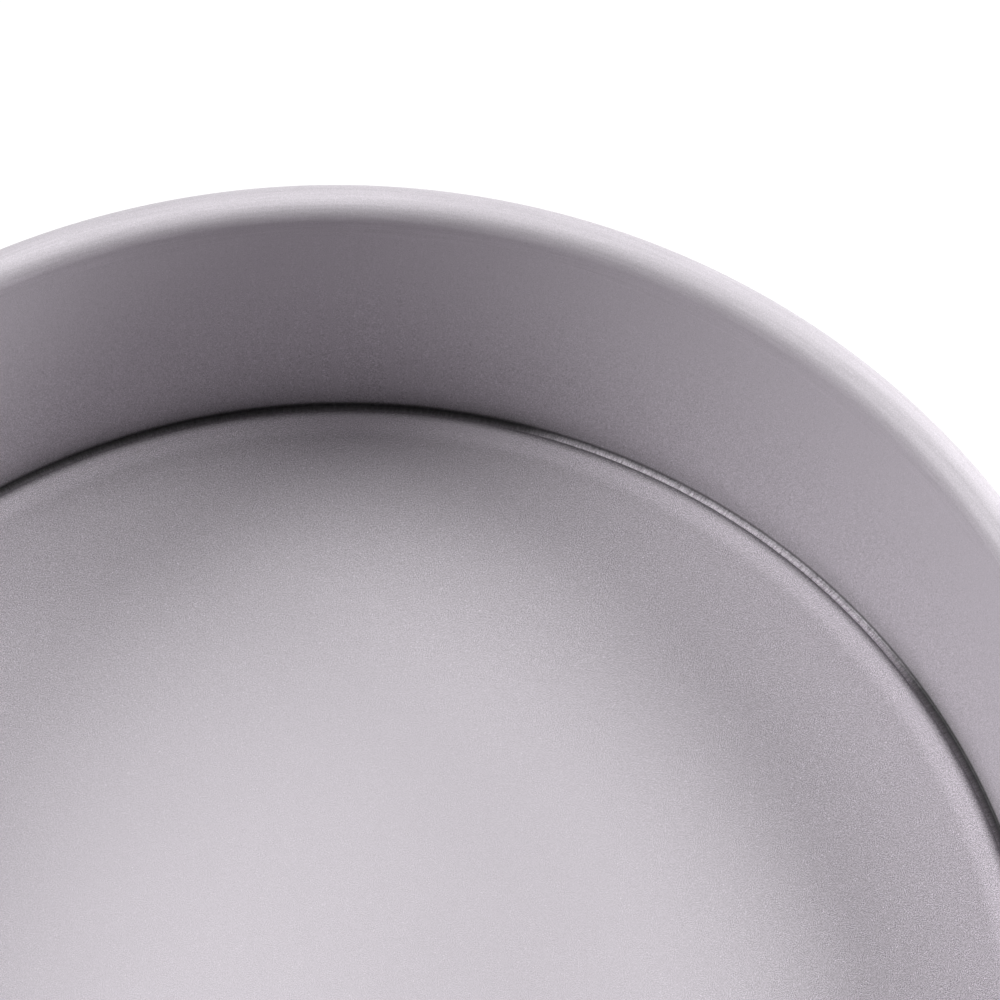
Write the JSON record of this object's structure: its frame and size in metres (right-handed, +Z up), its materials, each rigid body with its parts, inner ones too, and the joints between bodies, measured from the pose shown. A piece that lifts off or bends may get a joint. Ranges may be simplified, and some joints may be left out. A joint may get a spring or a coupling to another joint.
{
  "type": "loose-bottom round cake tin",
  "caption": "Round loose-bottom cake tin: a straight side ring with a rolled rim and an inner ledge, and a flat push-up base disc.",
  "frame": {"origin": "centre of the foot, on the surface that the tin stands on", "axes": "+Z up along the tin's axis of revolution, from the foot to the rim; X and Y lie in the foot's plane"},
  "size_m": [0.215, 0.215, 0.0545],
  "materials": {
    "ring_metal": "satin silver anodised, very fine matt grain",
    "base_metal": "satin silver anodised, very fine matt grain"
  },
  "bodies": {
    "ring": {"side_ring": "ring_metal"},
    "base": {"loose_base": "base_metal"}
  },
  "joints": [
    {"name": "base_lift", "type": "slide", "parent": "ring", "child": "base", "axis": [0, 0, 1], "range_m": [0, 0.1]}
  ]
}
